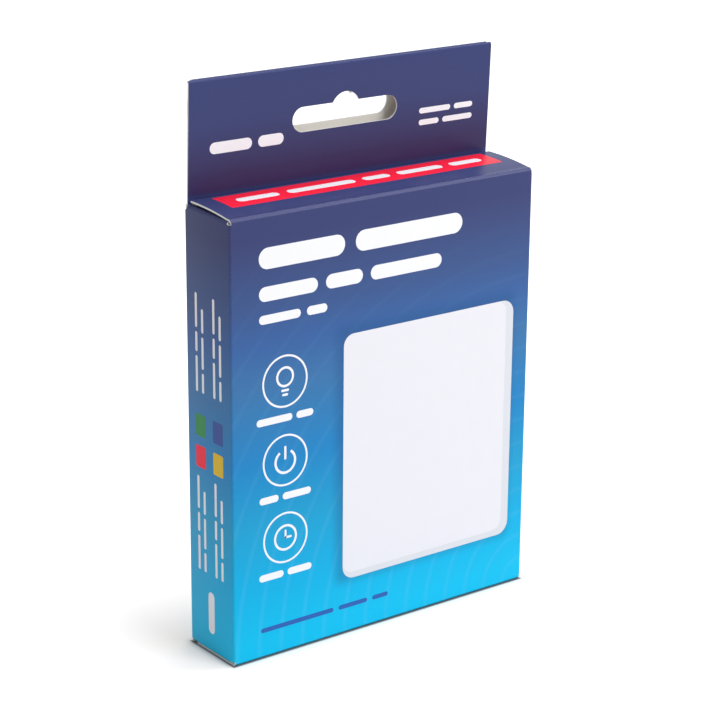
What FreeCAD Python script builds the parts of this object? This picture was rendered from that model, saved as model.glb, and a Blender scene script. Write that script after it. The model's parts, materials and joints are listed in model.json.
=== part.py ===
"""Retail folding carton with a hang tab, in millimetres.

One printed sheet of solid board is creased into a sleeve. A lid with a tuck
flap closes it at the top and at the bottom, above two dust flaps at each end.
The back panel runs on upwards into a doubled hang tab with a euro hole.

The origin is the centre of the bottom, +Z is up and the front faces -Y.
"""
import FreeCAD, Part
import math
import os

import Sketcher
from FreeCAD import Placement, Rotation, Vector

SIZES = {
    # Sleeve
    "width": 92.0,
    "depth": 19.0,
    "height": 112.0,
    "board": 0.45,
    "upright_crease": 0.6,
    "glue_flap_width": 12.0,
    "glue_flap_slope": 4.0,
    "glue_flap_margin": 3.0,
    # Lids and their tuck flaps
    "lid_crease": 0.8,
    "lid_inset": 0.4,
    "lid_rise": 1.2,
    "lid_bow": 0.3,
    "lid_landing": 0.6,
    "lid_rear_clearance": 1.35,
    "crease_gap": 0.08,
    "tuck_crease": 0.9,
    "tuck_length": 9.0,
    "tuck_angle": 20.0,
    "tuck_inset": 1.0,
    "tuck_corner": 4.0,
    # Dust flaps
    "flap_drop": 0.6,
    "flap_lift": 0.8,
    "flap_crease": 0.6,
    "flap_length": 17.0,
    "flap_front_clearance": 0.75,
    "flap_rear_clearance": 1.3,
    "flap_reach": 15.5,
    "flap_taper": 1.0,
    "flap_corner": 4.0,
    "flap_side_clearance": 0.3,
    # Hang tab
    "tab_height": 29.5,
    "tab_lean": 1.2,
    "tab_bow": 3.2,
    "tab_fold": 0.9,
    "tab_rear_inset": 1.6,
    "tab_rear_taper": 7.5,
    "tab_lap": 4.0,
    "glue_line": 0.05,
    # Euro hole
    "hole_length": 31.75,
    "hole_height": 6.2,
    "hole_level": 16.4,
    "hole_offset": 0.9,
    "bump_width": 7.9,
    "bump_radius": 4.45,
}

# Where the panels, creases and edges lie, in terms of the sizes above
FRONT = "-Sizes.depth / 2"
BACK = "Sizes.depth / 2"
LEFT = "-Sizes.width / 2"
PANEL_TOP = "Sizes.height"
SLEEVE_BOTTOM = "Sizes.flap_drop + Sizes.flap_crease"
SLEEVE_TOP = f"{PANEL_TOP} - ({SLEEVE_BOTTOM})"
HINGE = f"{FRONT} + Sizes.lid_crease"
LID_REAR = f"{BACK} - Sizes.lid_rear_clearance"
LID_WIDTH = "Sizes.width - 2 * Sizes.lid_inset"
TUCK_HALF_WIDTH = f"({LID_WIDTH}) / 2 - Sizes.tuck_inset"
TUCK_DROP = (
    "Sizes.tuck_crease * (1 + sin(Sizes.tuck_angle * 1deg))"
    " + Sizes.tuck_length * cos(Sizes.tuck_angle * 1deg)"
)
FLAP_FRONT = f"{FRONT} + Sizes.board + Sizes.flap_front_clearance"
FLAP_REAR = f"{BACK} - Sizes.flap_rear_clearance"
TAB_FRONT = f"{BACK} - 2 * Sizes.board - Sizes.glue_line"
TAB_TOP = f"{PANEL_TOP} + Sizes.tab_height"

# Turns from each sketch's own plane to the plane that it is drawn on
PLANES = {
    "XY": Rotation(),
    "XZ": Rotation(Vector(1, 0, 0), 90),
    "YZ": Rotation(Vector(1, 1, 1), 120),
}
ALONG = {"X": Vector(1, 0, 0), "Y": Vector(0, 1, 0), "Z": Vector(0, 0, 1)}
ACROSS = {"X": ("y", "z"), "Y": ("z", "x")}
LEFT_TURN = 1
RIGHT_TURN = -1

doc = FreeCAD.newDocument("carton")


def make_sheet():
    """Put every driving size into a spreadsheet cell with an alias."""
    sheet = doc.addObject("Spreadsheet::Sheet", "Sizes")
    for row, (alias, size) in enumerate(SIZES.items(), start=1):
        sheet.set(f"A{row}", alias)
        sheet.set(f"B{row}", str(size))
        sheet.setAlias(f"B{row}", alias)
    doc.recompute()
    return sheet


sheet = make_sheet()


def number(expression):
    """The value that an expression of the sheet's cells has now."""
    result = sheet.evalExpression(expression.replace("Sizes.", ""))
    return float(getattr(result, "Value", result))


def arc_between(start, end, radius, turn):
    """The smaller arc from start to end that turns left or right."""
    chord = end - start
    middle = (start + end) * 0.5
    offset = math.sqrt(max(radius**2 - (chord.Length / 2) ** 2, 0.0))
    centre = middle + Vector(-chord.y, chord.x, 0).normalize() * offset * turn
    first, last = (start, end) if turn == LEFT_TURN else (end, start)
    angles = [math.atan2(p.y - centre.y, p.x - centre.x) for p in (first, last)]
    if angles[1] < angles[0]:
        angles[1] += 2 * math.pi
    return Part.ArcOfCircle(Part.Circle(centre, Vector(0, 0, 1), radius), *angles)


def bind(sketch, kind, *where, to):
    """Add a dimension to a sketch and tie it to the sheet."""
    index = sketch.addConstraint(Sketcher.Constraint(kind, *where, number(to)))
    sketch.setExpression(f"Constraints[{index}]", to)


def trace(name, plane, steps, closed=False):
    """Draw a sketch through points whose places are expressions.

    A step is (u, v) for a straight run to that point, or (u, v, radius, turn)
    for an arc that ends there.
    """
    sketch = doc.addObject("Sketcher::SketchObject", name)
    sketch.Placement = Placement(Vector(), PLANES[plane])
    points = [Vector(number(step[0]), number(step[1]), 0) for step in steps]
    runs = list(zip(steps[1:], points, points[1:]))
    if closed:
        runs.append((steps[0], points[-1], points[0]))
    ends = []
    for step, start, end in runs:
        if len(step) == 2:
            edge = sketch.addGeometry(Part.LineSegment(start, end))
            ends.append(((edge, 1), (edge, 2)))
            continue
        radius, turn = step[2:]
        edge = sketch.addGeometry(arc_between(start, end, number(radius), turn))
        bind(sketch, "Radius", edge, to=radius)
        ends.append(((edge, 1), (edge, 2)) if turn == LEFT_TURN else ((edge, 2), (edge, 1)))
    for before, after in zip(ends, ends[1:]):
        sketch.addConstraint(Sketcher.Constraint("Coincident", *before[1], *after[0]))
    if closed:
        sketch.addConstraint(Sketcher.Constraint("Coincident", *ends[-1][1], *ends[0][0]))
    corners = [run[0] for run in ends]
    if not closed:
        corners.append(ends[-1][1])
    for step, corner in zip(steps, corners):
        bind(sketch, "DistanceX", -1, 1, *corner, to=step[0])
        bind(sketch, "DistanceY", -1, 1, *corner, to=step[1])
    return sketch


def extrude(name, base, axis, forward, backward=None):
    """Extrude a face along an axis, evenly both ways unless two lengths are given."""
    solid = doc.addObject("Part::Extrusion", name)
    solid.Base = base
    solid.DirMode = "Custom"
    solid.Dir = ALONG[axis]
    solid.Solid = True
    solid.setExpression("LengthFwd", forward)
    if backward is None:
        solid.Symmetric = True
    else:
        solid.setExpression("LengthRev", backward)
    return solid


def thicken(name, sketch):
    """Give a drawn outer face the thickness of the board, to its right."""
    face = doc.addObject("Part::Offset2D", name)
    face.Source = sketch
    face.Mode = "Skin"
    face.Fill = True
    face.Join = "Intersection"
    face.setExpression("Value", "Sizes.board")
    return face


def folded_strip(name, plane, steps, axis, forward, backward=None):
    """A strip of board whose outer face follows the steps, board on their right."""
    sketch = trace(f"{name}_line", plane, steps)
    return extrude(name, thicken(f"{name}_section", sketch), axis, forward, backward)


def turn_about(solid, axis, angle, pivot):
    """Turn a solid about a line along an axis, through a place on the two directions across it."""
    first, second = pivot
    directions = ACROSS[axis]
    solid.Placement = Placement(Vector(), Rotation(ALONG[axis], 1))
    solid.setExpression("Placement.Rotation.Angle", angle)
    solid.setExpression(
        f"Placement.Base.{directions[0]}", f"({first}) * (1 - cos({angle})) + ({second}) * sin({angle})"
    )
    solid.setExpression(
        f"Placement.Base.{directions[1]}", f"({second}) * (1 - cos({angle})) - ({first}) * sin({angle})"
    )


def mirror(name, source, normal, height=None):
    """Mirror a solid across the middle, or across a level."""
    copy = doc.addObject("Part::Mirroring", name)
    copy.Source = source
    copy.Normal = ALONG[normal]
    if height:
        copy.setExpression("Base.z", height)
    return copy


def combine(kind, name, first, second):
    """Cut the second solid from the first, join them or keep what they share."""
    result = doc.addObject(kind, name)
    result.Base = first
    result.Tool = second
    return result


def make_block(name, inset):
    """A block between the flap creases, inset from the carton's faces, with round corners."""
    left, right = f"{LEFT} + {inset}", f"Sizes.width / 2 - {inset}"
    front, back = f"{FRONT} + {inset}", f"{BACK} - {inset}"
    radius = f"(Sizes.upright_crease - {inset})"
    outline = trace(
        f"{name}_outline",
        "XY",
        [
            (f"{left} + {radius}", front, radius, LEFT_TURN),
            (f"{right} - {radius}", front),
            (right, f"{front} + {radius}", radius, LEFT_TURN),
            (right, f"{back} - {radius}"),
            (f"{right} - {radius}", back, radius, LEFT_TURN),
            (f"{left} + {radius}", back),
            (left, f"{back} - {radius}", radius, LEFT_TURN),
            (left, f"{front} + {radius}"),
        ],
        closed=True,
    )
    outline.setExpression("Placement.Base.z", SLEEVE_BOTTOM)
    return extrude(name, outline, "Z", f"{SLEEVE_TOP} - ({SLEEVE_BOTTOM})", "0")


def make_sleeve():
    """The four upright panels between the flap creases."""
    return combine("Part::Cut", "sleeve", make_block("outside", "0"), make_block("inside", "Sizes.board"))


def make_glue_flap():
    """The lap that closes the sleeve, glued inside the right panel from the back crease."""
    rear = f"{BACK} - Sizes.upright_crease"
    front = f"{rear} - Sizes.glue_flap_width"
    low = f"{SLEEVE_BOTTOM} + Sizes.glue_flap_margin"
    high = f"{SLEEVE_TOP} - Sizes.glue_flap_margin"
    outline = trace(
        "glue_flap_outline",
        "YZ",
        [
            (rear, low),
            (rear, high),
            (front, f"{high} - Sizes.glue_flap_slope"),
            (front, f"{low} + Sizes.glue_flap_slope"),
        ],
        closed=True,
    )
    outline.setExpression("Placement.Base.x", "Sizes.width / 2 - 2 * Sizes.board")
    return extrude("glue_flap", outline, "X", "Sizes.board", "0")


def make_front_crease():
    """The bend at the front panel's top edge, up to the line where the lid hinges."""
    steps = [
        (FRONT, SLEEVE_TOP),
        (FRONT, f"{PANEL_TOP} - Sizes.lid_crease"),
        (HINGE, PANEL_TOP, "Sizes.lid_crease", RIGHT_TURN),
    ]
    return folded_strip("front_crease", "YZ", steps, "X", LID_WIDTH)


def make_back_edge():
    """The back panel's strip below the sleeve, down to the carton's foot."""
    inner = f"{BACK} - Sizes.board"
    corners = [(inner, "0"), (BACK, "0"), (BACK, SLEEVE_BOTTOM), (inner, SLEEVE_BOTTOM)]
    outline = trace("back_edge_outline", "YZ", corners, closed=True)
    return extrude("back_edge", outline, "X", LID_WIDTH)


def make_dust_flap(name, lifted):
    """The left dust flap under the top lid, cut to its outline.

    A lifted flap springs up towards the back, under a bowed lid.
    """
    level = f"{PANEL_TOP} - Sizes.flap_drop"
    tip = f"{LEFT} + Sizes.flap_length"
    outside = f"{LEFT} - Sizes.flap_crease"
    shoulder = f"-({TUCK_HALF_WIDTH}) - Sizes.flap_side_clearance"
    reach = f"{FRONT} + Sizes.flap_reach"
    bend = [
        (LEFT, SLEEVE_TOP),
        (f"{LEFT} + Sizes.flap_crease", level, "Sizes.flap_crease", RIGHT_TURN),
        (tip, level),
    ]
    strip = folded_strip(f"{name}_strip", "XZ", bend, "Y", FLAP_REAR, f"-({FLAP_FRONT})")
    outline = trace(
        f"{name}_outline",
        "XY",
        [
            (outside, FLAP_FRONT),
            (tip, f"{FLAP_FRONT} + Sizes.flap_taper"),
            (tip, f"{reach} - Sizes.flap_corner"),
            (f"{tip} - Sizes.flap_corner", reach),
            (shoulder, reach),
            (shoulder, FLAP_REAR),
            (outside, FLAP_REAR),
        ],
        closed=True,
    )
    plan = extrude(f"{name}_plan", outline, "Z", f"{PANEL_TOP} + Sizes.flap_lift", "0")
    if not lifted:
        return combine("Part::Common", name, strip, plan)

    length = f"({FLAP_REAR} - ({FLAP_FRONT}))"
    turn_about(strip, "X", f"asin(Sizes.flap_lift / {length})", (FLAP_FRONT, SLEEVE_TOP))
    rear = f"{FLAP_FRONT} + sqrt({length}^2 - Sizes.flap_lift^2)"
    edge = [(FLAP_FRONT, SLEEVE_TOP), (rear, SLEEVE_TOP), (rear, f"{SLEEVE_TOP} + Sizes.flap_lift")]
    wedge = trace(f"{name}_wedge_outline", "YZ", edge, closed=True)
    wedge.setExpression("Placement.Base.x", LEFT)
    panel_edge = extrude(f"{name}_wedge", wedge, "X", "Sizes.board", "0")
    return combine("Part::Fuse", name, combine("Part::Common", f"{name}_bend", strip, plan), panel_edge)


def make_tab():
    """The doubled hang tab, folded along its top edge.

    The rear layer rises from the back panel, bows backwards and is cut in at both
    sides, least at the fold. The front layer has the full width, and its lower edge
    is glued inside the back panel.
    """
    slope = "2 * atan(2 * Sizes.tab_bow / Sizes.tab_height)"
    front_top = f"{TAB_FRONT} - Sizes.tab_lean"
    middle = f"{front_top} + Sizes.tab_fold"
    centre = f"{TAB_TOP} - Sizes.tab_fold"
    fold_end = (f"{middle} + Sizes.tab_fold * cos({slope})", f"{centre} + Sizes.tab_fold * sin({slope})")
    chord = f"sqrt(({fold_end[0]} - {BACK})^2 + ({fold_end[1]} - {PANEL_TOP})^2)"
    bow_radius = f"(({chord})^2 / 4 + Sizes.tab_bow^2) / (2 * Sizes.tab_bow)"
    steps = [
        (TAB_FRONT, f"{PANEL_TOP} - Sizes.tab_lap"),
        (TAB_FRONT, PANEL_TOP),
        (front_top, centre),
        (middle, TAB_TOP, "Sizes.tab_fold", RIGHT_TURN),
        (*fold_end, "Sizes.tab_fold", RIGHT_TURN),
        (BACK, PANEL_TOP, bow_radius, RIGHT_TURN),
        (BACK, SLEEVE_TOP),
    ]
    layers = folded_strip("tab_layers", "YZ", steps, "X", LID_WIDTH)

    between = "Sizes.board + Sizes.glue_line / 2"
    above = f"{TAB_TOP} + Sizes.board"
    behind = f"{BACK} + 2 * Sizes.tab_bow"
    relief = trace(
        "relief_outline",
        "YZ",
        [
            (f"{TAB_FRONT} + {between}", PANEL_TOP),
            (behind, PANEL_TOP),
            (behind, above),
            (f"{front_top} + {between}", above),
            (f"{front_top} + {between}", centre),
        ],
        closed=True,
    )
    relief.setExpression("Placement.Base.x", "Sizes.width / 2 - Sizes.tab_rear_inset")
    right = extrude("relief", relief, "X", "Sizes.depth", "0")
    turn_about(right, "Y", "Sizes.tab_rear_taper * 1deg", (TAB_TOP, "Sizes.width / 2 - Sizes.tab_rear_inset"))
    right_cut = combine("Part::Cut", "tab_right_cut", layers, right)
    return combine("Part::Cut", "tab", right_cut, mirror("relief_left", right, "X"))


def trace_euro_hole(name):
    """The round-ended hang slot with a bump for a single peg."""
    low = f"{PANEL_TOP} + Sizes.hole_level - Sizes.hole_height / 2"
    high = f"{low} + Sizes.hole_height"
    level = f"{PANEL_TOP} + Sizes.hole_level"
    end = "Sizes.hole_height / 2"
    tip = "Sizes.hole_length / 2"
    foot = "Sizes.bump_width / 2"
    crown = f"{high} + Sizes.bump_radius - sqrt(Sizes.bump_radius^2 - Sizes.bump_width^2 / 4)"
    return trace(
        name,
        "XZ",
        [
            (f"{end} - {tip}", low, end, LEFT_TURN),
            (f"{tip} - {end}", low),
            (tip, level, end, LEFT_TURN),
            (f"{tip} - {end}", high, end, LEFT_TURN),
            (foot, high),
            ("0", crown, "Sizes.bump_radius", LEFT_TURN),
            (f"-{foot}", high, "Sizes.bump_radius", LEFT_TURN),
            (f"{end} - {tip}", high),
            (f"-{tip}", level, end, LEFT_TURN),
        ],
        closed=True,
    )


def make_euro_hole():
    """Both layers' hang holes, the rear one a little higher, as the fold leaves it."""
    front = extrude("front_hole", trace_euro_hole("front_hole_outline"), "Y", BACK, "0")
    outline = trace_euro_hole("rear_hole_outline")
    outline.setExpression("Placement.Base.y", BACK)
    outline.setExpression("Placement.Base.z", "Sizes.hole_offset")
    rear = extrude("rear_hole", outline, "Y", "Sizes.depth", "0")
    return combine("Part::Fuse", "hole", front, rear)


def make_carton_body():
    """Everything that stays in one piece when the lids open."""
    crease = make_front_crease()
    left_flap = make_dust_flap("top_flap", lifted=True)
    level_flap = make_dust_flap("level_flap", lifted=False)
    upper = [crease, left_flap, mirror("top_flap_right", left_flap, "X")]
    level = [crease, level_flap, mirror("level_flap_right", level_flap, "X")]
    lower = [mirror(f"{piece.Name}_low", piece, "Z", f"{PANEL_TOP} / 2") for piece in level]
    sheet_parts = doc.addObject("Part::MultiFuse", "folded_sheet")
    sheet_parts.Shapes = [make_sleeve(), make_glue_flap(), make_back_edge(), make_tab(), *upper, *lower]
    return combine("Part::Cut", "carton_body", sheet_parts, make_euro_hole())


def make_lid(name, level, bowed):
    """A lid panel from its hinge to the end of its tuck flap, which points down.

    A bowed lid also rises towards the back, where its tuck flap holds it up. The tuck
    flap is set in from the lid's ends by a notch at each end of its crease.
    """
    rear_level = f"{level} + Sizes.lid_rise" if bowed else level
    start = f"{HINGE} + Sizes.crease_gap"
    landing = f"{start} + Sizes.lid_landing"
    crease = f"{LID_REAR} - Sizes.tuck_crease"
    chord = f"sqrt(({crease} - ({landing}))^2 + Sizes.lid_rise^2)"
    bow_radius = f"(({chord})^2 / 4 + Sizes.lid_bow^2) / (2 * Sizes.lid_bow)"
    panel = [(landing, level), (crease, rear_level, bow_radius, RIGHT_TURN)] if bowed else [(crease, level)]
    sine, cosine = "sin(Sizes.tuck_angle * 1deg)", "cos(Sizes.tuck_angle * 1deg)"
    root = f"{crease} + Sizes.tuck_crease * {cosine}"
    root_level = f"{rear_level} - Sizes.tuck_crease * (1 + {sine})"
    tip = (f"{root} - Sizes.tuck_length * {sine}", f"{root_level} - Sizes.tuck_length * {cosine}")
    steps = [(start, level), *panel, (root, root_level, "Sizes.tuck_crease", RIGHT_TURN), tip]
    strip = folded_strip(f"{name}_strip", "YZ", steps, "X", LID_WIDTH)

    edge = f"({LID_WIDTH}) / 2"
    shoulder = f"{level} - Sizes.board"
    side = TUCK_HALF_WIDTH
    corner = "Sizes.tuck_corner"
    low = f"{rear_level} - ({TUCK_DROP})"
    above = f"{rear_level} + Sizes.lid_bow + Sizes.board"
    outline = trace(
        f"{name}_outline",
        "XZ",
        [
            (f"-({edge})", above),
            (f"-({edge})", shoulder),
            (f"-({side})", shoulder),
            (f"-({side})", f"{low} + {corner}"),
            (f"-({side}) + {corner}", low, corner, LEFT_TURN),
            (f"{side} - {corner}", low),
            (side, f"{low} + {corner}", corner, LEFT_TURN),
            (side, shoulder),
            (edge, shoulder),
            (edge, above),
        ],
        closed=True,
    )
    shape = extrude(f"{name}_plan", outline, "Y", "2 * Sizes.depth")
    blank = combine("Part::Common", f"{name}_blank", strip, shape)

    outside = f"{edge} + Sizes.lid_inset"
    corners = [(side, crease), (outside, crease), (outside, BACK), (side, BACK)]
    notch_outline = trace(f"{name}_notch_outline", "XY", corners, closed=True)
    notch = extrude(f"{name}_notch", notch_outline, "Z", "3 * Sizes.height")
    right_cut = combine("Part::Cut", f"{name}_right_cut", blank, notch)
    return combine("Part::Cut", name, right_cut, mirror(f"{name}_notch_left", notch, "X"))


def check(nodes):
    """Stop if any object failed or any finished piece isn't one sound solid."""
    for item in doc.Objects:
        if {"Invalid", "Error"} & set(item.State):
            raise RuntimeError(f"{item.Name} failed: {item.State}")
    for node in nodes:
        shape = node.Shape
        if shape.isNull() or not shape.isValid() or len(shape.Solids) != 1:
            raise RuntimeError(f"{node.Label} is not one valid solid")


def main():
    """Build the body and both lids, check them and write one file each."""
    body = make_carton_body()
    top_lid = make_lid("top_lid", PANEL_TOP, bowed=True)
    bottom_lid = mirror("bottom_lid", make_lid("bottom_lid_up", "0", bowed=False), "Z")
    nodes = [body, top_lid, bottom_lid]
    doc.recompute()
    check(nodes)
    os.makedirs("parts", exist_ok=True)
    for node in nodes:
        node.Shape.exportStep(f"parts/{node.Label}.step")
        box = node.Shape.BoundBox
        print(f"{node.Label}: {node.Shape.Volume:.0f} mm3, z {box.ZMin:.2f} to {box.ZMax:.2f}, "
              f"y {box.YMin:.2f} to {box.YMax:.2f}, x {box.XMin:.2f} to {box.XMax:.2f}")


main()
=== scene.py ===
"""Dresses a hang-tab folding carton: creased board, cut edges, print and studio.

Every length is in metres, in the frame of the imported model. The origin is the
centre of the carton's bottom, +Z is up and the front faces -Y.
"""
from __future__ import annotations

import json
import logging
import math
from collections.abc import Callable, Iterable, Iterator, Sequence
from contextlib import contextmanager
from dataclasses import dataclass, field
from enum import Enum
from functools import partial

import bmesh
import bpy
from mathutils import Matrix, Vector

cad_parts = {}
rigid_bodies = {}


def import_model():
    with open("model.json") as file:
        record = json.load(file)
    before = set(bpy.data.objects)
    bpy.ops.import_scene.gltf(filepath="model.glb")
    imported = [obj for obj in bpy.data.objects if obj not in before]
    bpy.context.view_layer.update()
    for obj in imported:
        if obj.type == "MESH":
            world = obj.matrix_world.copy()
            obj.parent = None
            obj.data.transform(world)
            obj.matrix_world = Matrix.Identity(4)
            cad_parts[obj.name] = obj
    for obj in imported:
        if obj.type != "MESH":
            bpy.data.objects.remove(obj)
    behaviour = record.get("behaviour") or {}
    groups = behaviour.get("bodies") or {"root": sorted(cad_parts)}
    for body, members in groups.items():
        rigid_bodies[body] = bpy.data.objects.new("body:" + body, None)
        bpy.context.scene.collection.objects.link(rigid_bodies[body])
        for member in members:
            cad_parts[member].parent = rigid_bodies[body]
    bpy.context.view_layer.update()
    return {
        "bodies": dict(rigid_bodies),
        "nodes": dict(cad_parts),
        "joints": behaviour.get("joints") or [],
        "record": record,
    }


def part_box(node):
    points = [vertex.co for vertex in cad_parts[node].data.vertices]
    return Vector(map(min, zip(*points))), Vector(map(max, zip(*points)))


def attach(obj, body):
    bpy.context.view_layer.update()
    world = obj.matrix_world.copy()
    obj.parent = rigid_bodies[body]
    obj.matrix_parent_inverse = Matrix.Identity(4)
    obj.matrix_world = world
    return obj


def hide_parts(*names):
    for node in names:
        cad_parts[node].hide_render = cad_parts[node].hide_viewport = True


Material = bpy.types.Material
Node = bpy.types.Node
Piece = bpy.types.Object
Socket = bpy.types.NodeSocket
Tree = bpy.types.NodeTree
Triple = tuple[float, float, float]
# add_node for one node tree
Adder = Callable[..., Node]

LOG = logging.getLogger("carton")
MM = 0.001
X_AXIS, Y_AXIS = range(2)
# Places closer than this count as the same
CLOSE = 0.02 * MM
# A normal with this much along an axis faces that way
FACING = 0.5
SMOOTH_ANGLE = math.radians(30)
WHITE_LIGHT = (1.0, 1.0, 1.0, 1.0)


# Small tools for modelling and for materials


def linear(hex_colour: str) -> tuple[float, float, float, float]:
    """Turn an sRGB hex value into a linear colour.

    Args:
        hex_colour: six hex digits after a hash sign.

    Returns:
        Red, green, blue and an alpha of one.
    """
    channels = [int(hex_colour[start : start + 2], 16) / 255 for start in (1, 3, 5)]
    red, green, blue = [c / 12.92 if c <= 0.04045 else ((c + 0.055) / 1.055) ** 2.4 for c in channels]
    return red, green, blue, 1.0


def per_size(size: float) -> float:
    """The scale that gives a texture features of this size in metres."""
    return 1.0 / size


def add_node(tree: Tree, kind: str, inputs: dict | None = None, **settings: object) -> Node:
    """Add a shader node with its settings and fill or link its inputs.

    Args:
        tree: the node tree.
        kind: the node's type, without ShaderNode in front.
        inputs: socket name or number to a value, an output, or a node for its first output in use.
        settings: the node's own properties.

    Returns:
        The new node.
    """
    node = tree.nodes.new("ShaderNode" + kind)
    for name, value in settings.items():
        setattr(node, name, value)
    for key, value in (inputs or {}).items():
        if isinstance(value, Node):
            value = next(output for output in value.outputs if output.enabled)
        if isinstance(value, Socket):
            tree.links.new(value, node.inputs[key])
        else:
            node.inputs[key].default_value = value
    return node


def fill_ramp(node: Node, stops: Sequence[tuple[float, Sequence[float]]]) -> None:
    """Set a colour ramp's stops.

    Args:
        node: the colour ramp's node.
        stops: places from zero to one, each with its linear colour.
    """
    elements = node.color_ramp.elements
    while len(elements) < len(stops):
        elements.new(0.5)
    for element, (position, colour) in zip(elements, stops):
        element.position = position
        element.color = colour


def past_box(add: Adder, place: Socket, middle: Sequence[float], half: Sequence[float]) -> Node:
    """Add nodes for how far a place lies past a box's faces along each axis.

    Args:
        add: adds a node.
        place: object coordinates.
        middle: the box's middle.
        half: half the box's sizes.

    Returns:
        The node with the three distances, which are negative inside the box.
    """
    offset = add("VectorMath", {0: place, 1: middle}, operation="SUBTRACT")
    folded = add("VectorMath", {0: offset}, operation="ABSOLUTE")
    return add("VectorMath", {0: folded, 1: half}, operation="SUBTRACT")


def distance_past(add: Adder, past: Node) -> Node:
    """Add nodes for the distance from the box that past_box was given, zero inside it."""
    outside = add("VectorMath", {0: past, 1: (0.0, 0.0, 0.0)}, operation="MAXIMUM")
    return add("VectorMath", {0: outside}, operation="LENGTH")


def activate(piece: Piece) -> None:
    """Select one piece alone and make it the active one.

    Args:
        piece: the piece to work on.
    """
    bpy.ops.object.select_all(action="DESELECT")
    piece.select_set(True)
    bpy.context.view_layer.objects.active = piece


@contextmanager
def editing(piece: Piece, mode: str = "EDGE") -> Iterator[None]:
    """Edit one piece alone, at first with all of it selected.

    Args:
        piece: the mesh object to edit.
        mode: what the selection picks: VERT, EDGE or FACE.
    """
    activate(piece)
    bpy.ops.object.mode_set(mode="EDIT")
    bpy.ops.mesh.select_mode(type=mode)
    bpy.ops.mesh.select_all(action="SELECT")
    yield
    bpy.ops.object.mode_set(mode="OBJECT")


def pick(piece: Piece, kind: str, test: Callable[[object], bool]) -> None:
    """Select the elements in edit mode that pass a test.

    Args:
        piece: the mesh object that is being edited.
        kind: verts, edges or faces.
        test: says whether an element is wanted.
    """
    bpy.ops.mesh.select_all(action="DESELECT")
    mesh = bmesh.from_edit_mesh(piece.data)
    for element in getattr(mesh, kind):
        element.select_set(bool(test(element)))
    mesh.select_flush_mode()
    bmesh.update_edit_mesh(piece.data)


def near(vertex: bmesh.types.BMVert, **place: float) -> bool:
    """Whether a vertex has these coordinates, such as x=0.01."""
    return all(abs(getattr(vertex.co, axis) - value) < CLOSE for axis, value in place.items())


@dataclass(frozen=True)
class FoldLine:
    """One line across a folded strip: its place and how far it reaches along the fold."""

    place: Vector
    low: float
    high: float


def even_lines(places: Iterable[Vector], reach: float) -> list[FoldLine]:
    """Fold lines that reach equally far to both sides of the middle."""
    return [FoldLine(place, -reach, reach) for place in places]


def fold_out(piece: Piece, axis: int, lines: Iterable[FoldLine], **start: float) -> None:
    """Extrude an edge of a sheet from fold line to fold line.

    Args:
        piece: the sheet that is being edited.
        axis: the axis that the fold lines run along.
        lines: the fold lines in order.
        start: the coordinates that both ends of the first edge have, such as z=0.1.
    """
    pick(piece, "edges", lambda edge: all(near(vertex, **start) for vertex in edge.verts))
    for line in lines:
        bpy.ops.mesh.extrude_region_move(TRANSFORM_OT_translate={"value": (0, 0, 0)})
        mesh = bmesh.from_edit_mesh(piece.data)
        moved = [vertex for vertex in mesh.verts if vertex.select]
        before = [vertex.co[axis] for vertex in moved]
        first, last = min(before), max(before)
        for vertex, old in zip(moved, before):
            vertex.co = line.place
            vertex.co[axis] = line.low + (line.high - line.low) * (old - first) / (last - first)
        bmesh.update_edit_mesh(piece.data)


def cut_corners(
    piece: Piece, reach: float, steps: int, test: Callable[[object], bool] | None = None
) -> None:
    """Round the corners of a flat sheet, or cut them straight with one step.

    Args:
        piece: the sheet.
        reach: how far from the corner a cut starts.
        steps: how many straight steps it has.
        test: says whether a vertex is such a corner. Without it all are.
    """
    with editing(piece, "VERT"):
        if test:
            pick(piece, "verts", test)
        bpy.ops.mesh.bevel(affect="VERTICES", offset=reach, segments=steps)


def arc_points(centre: Vector, radius: float, start: float, end: float, steps: int) -> list[Vector]:
    """Points along an arc in the YZ plane, without its first point.

    Args:
        centre: the arc's centre.
        radius: its radius.
        start: the first angle, in radians from +Y towards +Z.
        end: the last angle.
        steps: how many straight steps the arc has.

    Returns:
        The points in order.
    """
    angles = [start + (end - start) * step / steps for step in range(1, steps + 1)]
    return [centre + radius * Vector((0, math.cos(angle), math.sin(angle))) for angle in angles]


def bow_circle(start: Vector, end: Vector, bow: float) -> tuple[Vector, float]:
    """The circle of a shallow arc in the YZ plane, which bows to the right of the way along it.

    Args:
        start: the arc's first end.
        end: its last end.
        bow: how far its middle stands off the straight line.

    Returns:
        The circle's centre and radius.
    """
    chord = end - start
    radius = (chord.length_squared / 4 + bow**2) / (2 * bow)
    left = Vector((0, -chord.z, chord.y)).normalized()
    return (start + end) / 2 + left * (radius - bow), radius


def apply_modifier(piece: Piece, kind: str, **settings: object) -> None:
    """Add a modifier to a piece, set it up and apply it.

    Args:
        piece: the mesh object.
        kind: the modifier's type.
        settings: the modifier's properties.
    """
    activate(piece)
    bpy.ops.object.modifier_add(type=kind)
    modifier = piece.modifiers[-1]
    for name, value in settings.items():
        setattr(modifier, name, value)
    bpy.ops.object.modifier_apply(modifier=modifier.name)


def apply_place(piece: Piece) -> None:
    """Move an object's place, turn and scale into its mesh."""
    activate(piece)
    bpy.ops.object.transform_apply(location=True, rotation=True, scale=True)


def smooth(piece: Piece) -> None:
    """Shade the round creases smooth and leave the cut edges sharp."""
    activate(piece)
    bpy.ops.object.shade_smooth_by_angle(angle=SMOOTH_ANGLE)


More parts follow.
